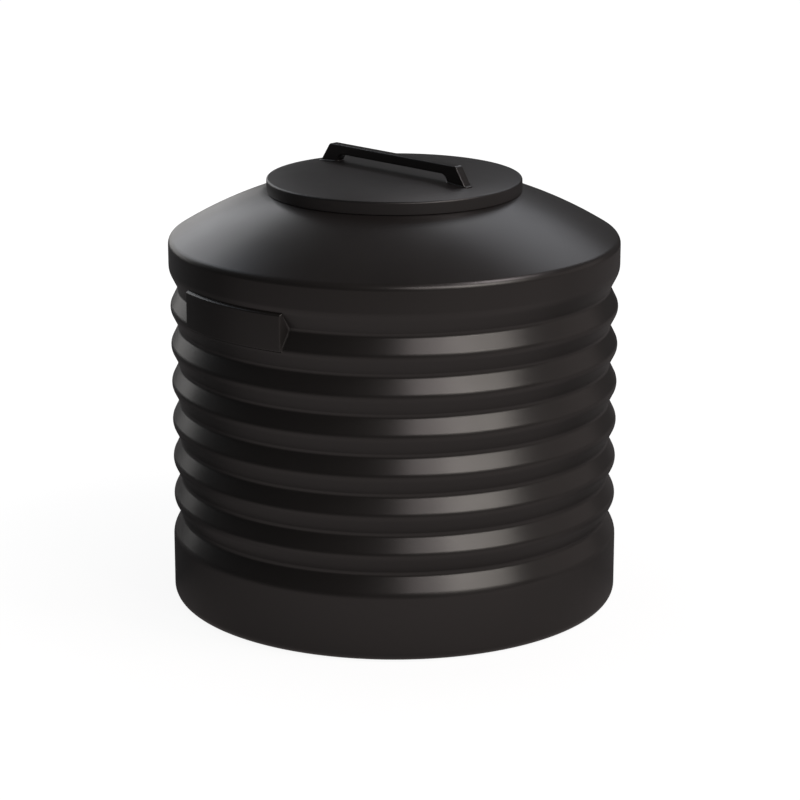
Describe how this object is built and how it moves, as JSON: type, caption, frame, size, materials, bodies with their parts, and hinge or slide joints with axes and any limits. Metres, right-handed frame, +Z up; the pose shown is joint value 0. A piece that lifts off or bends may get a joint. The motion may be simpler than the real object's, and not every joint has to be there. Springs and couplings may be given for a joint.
{
  "type": "water tank",
  "caption": "Round corrugated plastic water tank with plain base and shoulder bands, domed roof, lift-off lid with bar handle, and a threaded outlet.",
  "frame": {"origin": "on the tank's axis at the underside of the floor", "axes": "+Z up along the tank's axis, front with the name pad towards -Y, outlet towards +Y, handle along X"},
  "size_m": [0.8796, 0.8904, 0.8792],
  "materials": {
    "tank_shell": "satin",
    "lid_plastic": "satin",
    "handle_plastic": "satin",
    "brass_insert": "machined"
  },
  "bodies": {
    "tank": {"tank_floor": "tank_shell", "base_front": "tank_shell", "base_front_right": "tank_shell", "base_right": "tank_shell", "base_back_right": "tank_shell", "base_back": "tank_shell", "base_back_left": "tank_shell", "base_left": "tank_shell", "base_front_left": "tank_shell", "wall_front": "tank_shell", "wall_front_right": "tank_shell", "wall_right": "tank_shell", "wall_back_right": "tank_shell", "wall_back": "tank_shell", "wall_back_left": "tank_shell", "wall_left": "tank_shell", "wall_front_left": "tank_shell", "roof_front": "tank_shell", "roof_front_right": "tank_shell", "roof_right": "tank_shell", "roof_back_right": "tank_shell", "roof_back": "tank_shell", "roof_back_left": "tank_shell", "roof_left": "tank_shell", "roof_front_left": "tank_shell", "manhole_neck": "tank_shell", "name_pad": "tank_shell", "outlet_boss": "tank_shell", "outlet_insert": "brass_insert"},
    "lid": {"lid_top": "lid_plastic", "lid_skirt": "lid_plastic", "lid_handle": "handle_plastic"}
  },
  "joints": [
    {"name": "lid_lift", "type": "slide", "parent": "tank", "child": "lid", "axis": [0, 0, 1], "range_m": [0, 0.3]}
  ]
}
